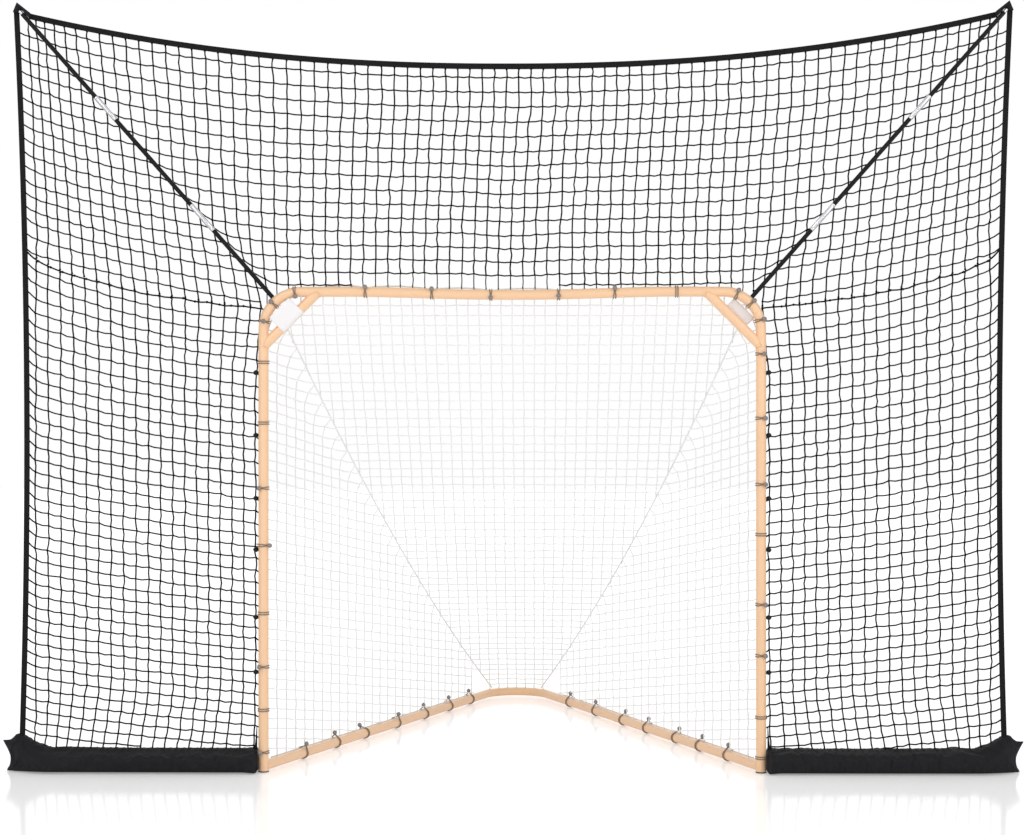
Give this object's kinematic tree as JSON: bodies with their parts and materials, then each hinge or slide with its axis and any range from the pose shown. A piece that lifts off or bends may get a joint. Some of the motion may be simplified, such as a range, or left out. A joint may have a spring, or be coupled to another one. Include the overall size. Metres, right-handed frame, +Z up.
{
  "type": "lacrosse goal",
  "caption": "Free-standing lacrosse goal: round-tube frame with a V base and a sloping white net, and a wide black backstop net on diagonal rods with fabric floor sleeves.",
  "frame": {"origin": "on the floor, under the middle of the whole goal", "axes": "+X along the crossbar to the right as seen from the field, +Y from the mouth to the rear of the goal, +Z up"},
  "size_m": [3.812, 2.2339, 2.894],
  "materials": {
    "orange_paint": "light orange powder coat, slightly glossy",
    "zinc_steel": "zinc-plated spring and tube steel",
    "aluminium": "bright drawn aluminium",
    "black_rod": "smooth black fibreglass rod",
    "black_plastic": "moulded black plastic",
    "white_net": "knotted white cord",
    "white_rope": "braided off-white cord with grey plastic balls",
    "black_net": "knotted black cord",
    "black_webbing": "woven black webbing with stitched edges",
    "black_fabric": "woven black polyester"
  },
  "bodies": {
    "goal_frame": {"crossbar": "orange_paint", "rear_bend": "orange_paint", "left_upright": "orange_paint", "left_corner_brace": "orange_paint", "left_base_tube": "orange_paint", "left_foot_stub": "orange_paint", "left_foot_plug": "black_plastic", "crossbar_sleeve_left": "zinc_steel", "rear_sleeve_left": "zinc_steel", "pole_pin_left": "zinc_steel", "left_upright_lacing": "white_rope", "left_base_lacing": "white_rope", "goal_net_seam_left": "white_rope", "goal_net_left": "white_net", "side_net_rope_left": "black_net", "backstop_net_left": "black_net", "edge_band_lower_left": "black_webbing", "sand_sleeve_left": "black_fabric", "right_upright": "orange_paint", "right_corner_brace": "orange_paint", "right_base_tube": "orange_paint", "right_foot_stub": "orange_paint", "right_foot_plug": "black_plastic", "crossbar_sleeve_right": "zinc_steel", "rear_sleeve_right": "zinc_steel", "pole_pin_right": "zinc_steel", "right_upright_lacing": "white_rope", "right_base_lacing": "white_rope", "goal_net_seam_right": "white_rope", "goal_net_right": "white_net", "side_net_rope_right": "black_net", "backstop_net_right": "black_net", "edge_band_lower_right": "black_webbing", "sand_sleeve_right": "black_fabric", "crossbar_lacing": "white_rope", "goal_net_back": "white_net"},
    "backstop_top": {"backstop_net_upper": "black_net", "backstop_top_band": "black_webbing", "edge_band_upper_left": "black_webbing", "corner_pocket_left": "black_fabric", "pole_lower_rod_left": "black_rod", "pole_middle_rod_left": "black_rod", "pole_upper_rod_left": "black_rod", "pole_lower_ferrule_left": "aluminium", "pole_upper_ferrule_left": "aluminium", "pole_tip_left": "aluminium", "edge_band_upper_right": "black_webbing", "corner_pocket_right": "black_fabric", "pole_lower_rod_right": "black_rod", "pole_middle_rod_right": "black_rod", "pole_upper_rod_right": "black_rod", "pole_lower_ferrule_right": "aluminium", "pole_upper_ferrule_right": "aluminium", "pole_tip_right": "aluminium"},
    "crossbar_button_left": {"crossbar_button_left": "zinc_steel"},
    "crossbar_button_right": {"crossbar_button_right": "zinc_steel"},
    "foot_button_left": {"foot_button_left": "zinc_steel"},
    "foot_button_right": {"foot_button_right": "zinc_steel"},
    "rear_button_left": {"rear_button_left": "zinc_steel"},
    "rear_button_right": {"rear_button_right": "zinc_steel"}
  },
  "joints": [
    {"name": "backstop_sway", "type": "hinge", "parent": "goal_frame", "child": "backstop_top", "pos_m": [0, -1.036, 1.7823], "axis": [1, 0, 0], "range_deg": [-4, 4], "stiffness_Nm_per_rad": 200},
    {"name": "crossbar_button_left_press", "type": "slide", "parent": "goal_frame", "child": "crossbar_button_left", "axis": [0, -1, 0], "range_m": [0, 0.0045], "stiffness_N_per_m": 1200},
    {"name": "crossbar_button_right_press", "type": "slide", "parent": "goal_frame", "child": "crossbar_button_right", "axis": [0, -1, 0], "range_m": [0, 0.0045], "stiffness_N_per_m": 1200},
    {"name": "foot_button_left_press", "type": "slide", "parent": "goal_frame", "child": "foot_button_left", "axis": [0.9325, -0.3613, 0], "range_m": [0, 0.0045], "stiffness_N_per_m": 1200},
    {"name": "foot_button_right_press", "type": "slide", "parent": "goal_frame", "child": "foot_button_right", "axis": [-0.9325, -0.3613, 0], "range_m": [0, 0.0045], "stiffness_N_per_m": 1200},
    {"name": "rear_button_left_press", "type": "slide", "parent": "goal_frame", "child": "rear_button_left", "axis": [0.9325, -0.3613, 0], "range_m": [0, 0.0045], "stiffness_N_per_m": 1200},
    {"name": "rear_button_right_press", "type": "slide", "parent": "goal_frame", "child": "rear_button_right", "axis": [-0.9325, -0.3613, 0], "range_m": [0, 0.0045], "stiffness_N_per_m": 1200}
  ]
}
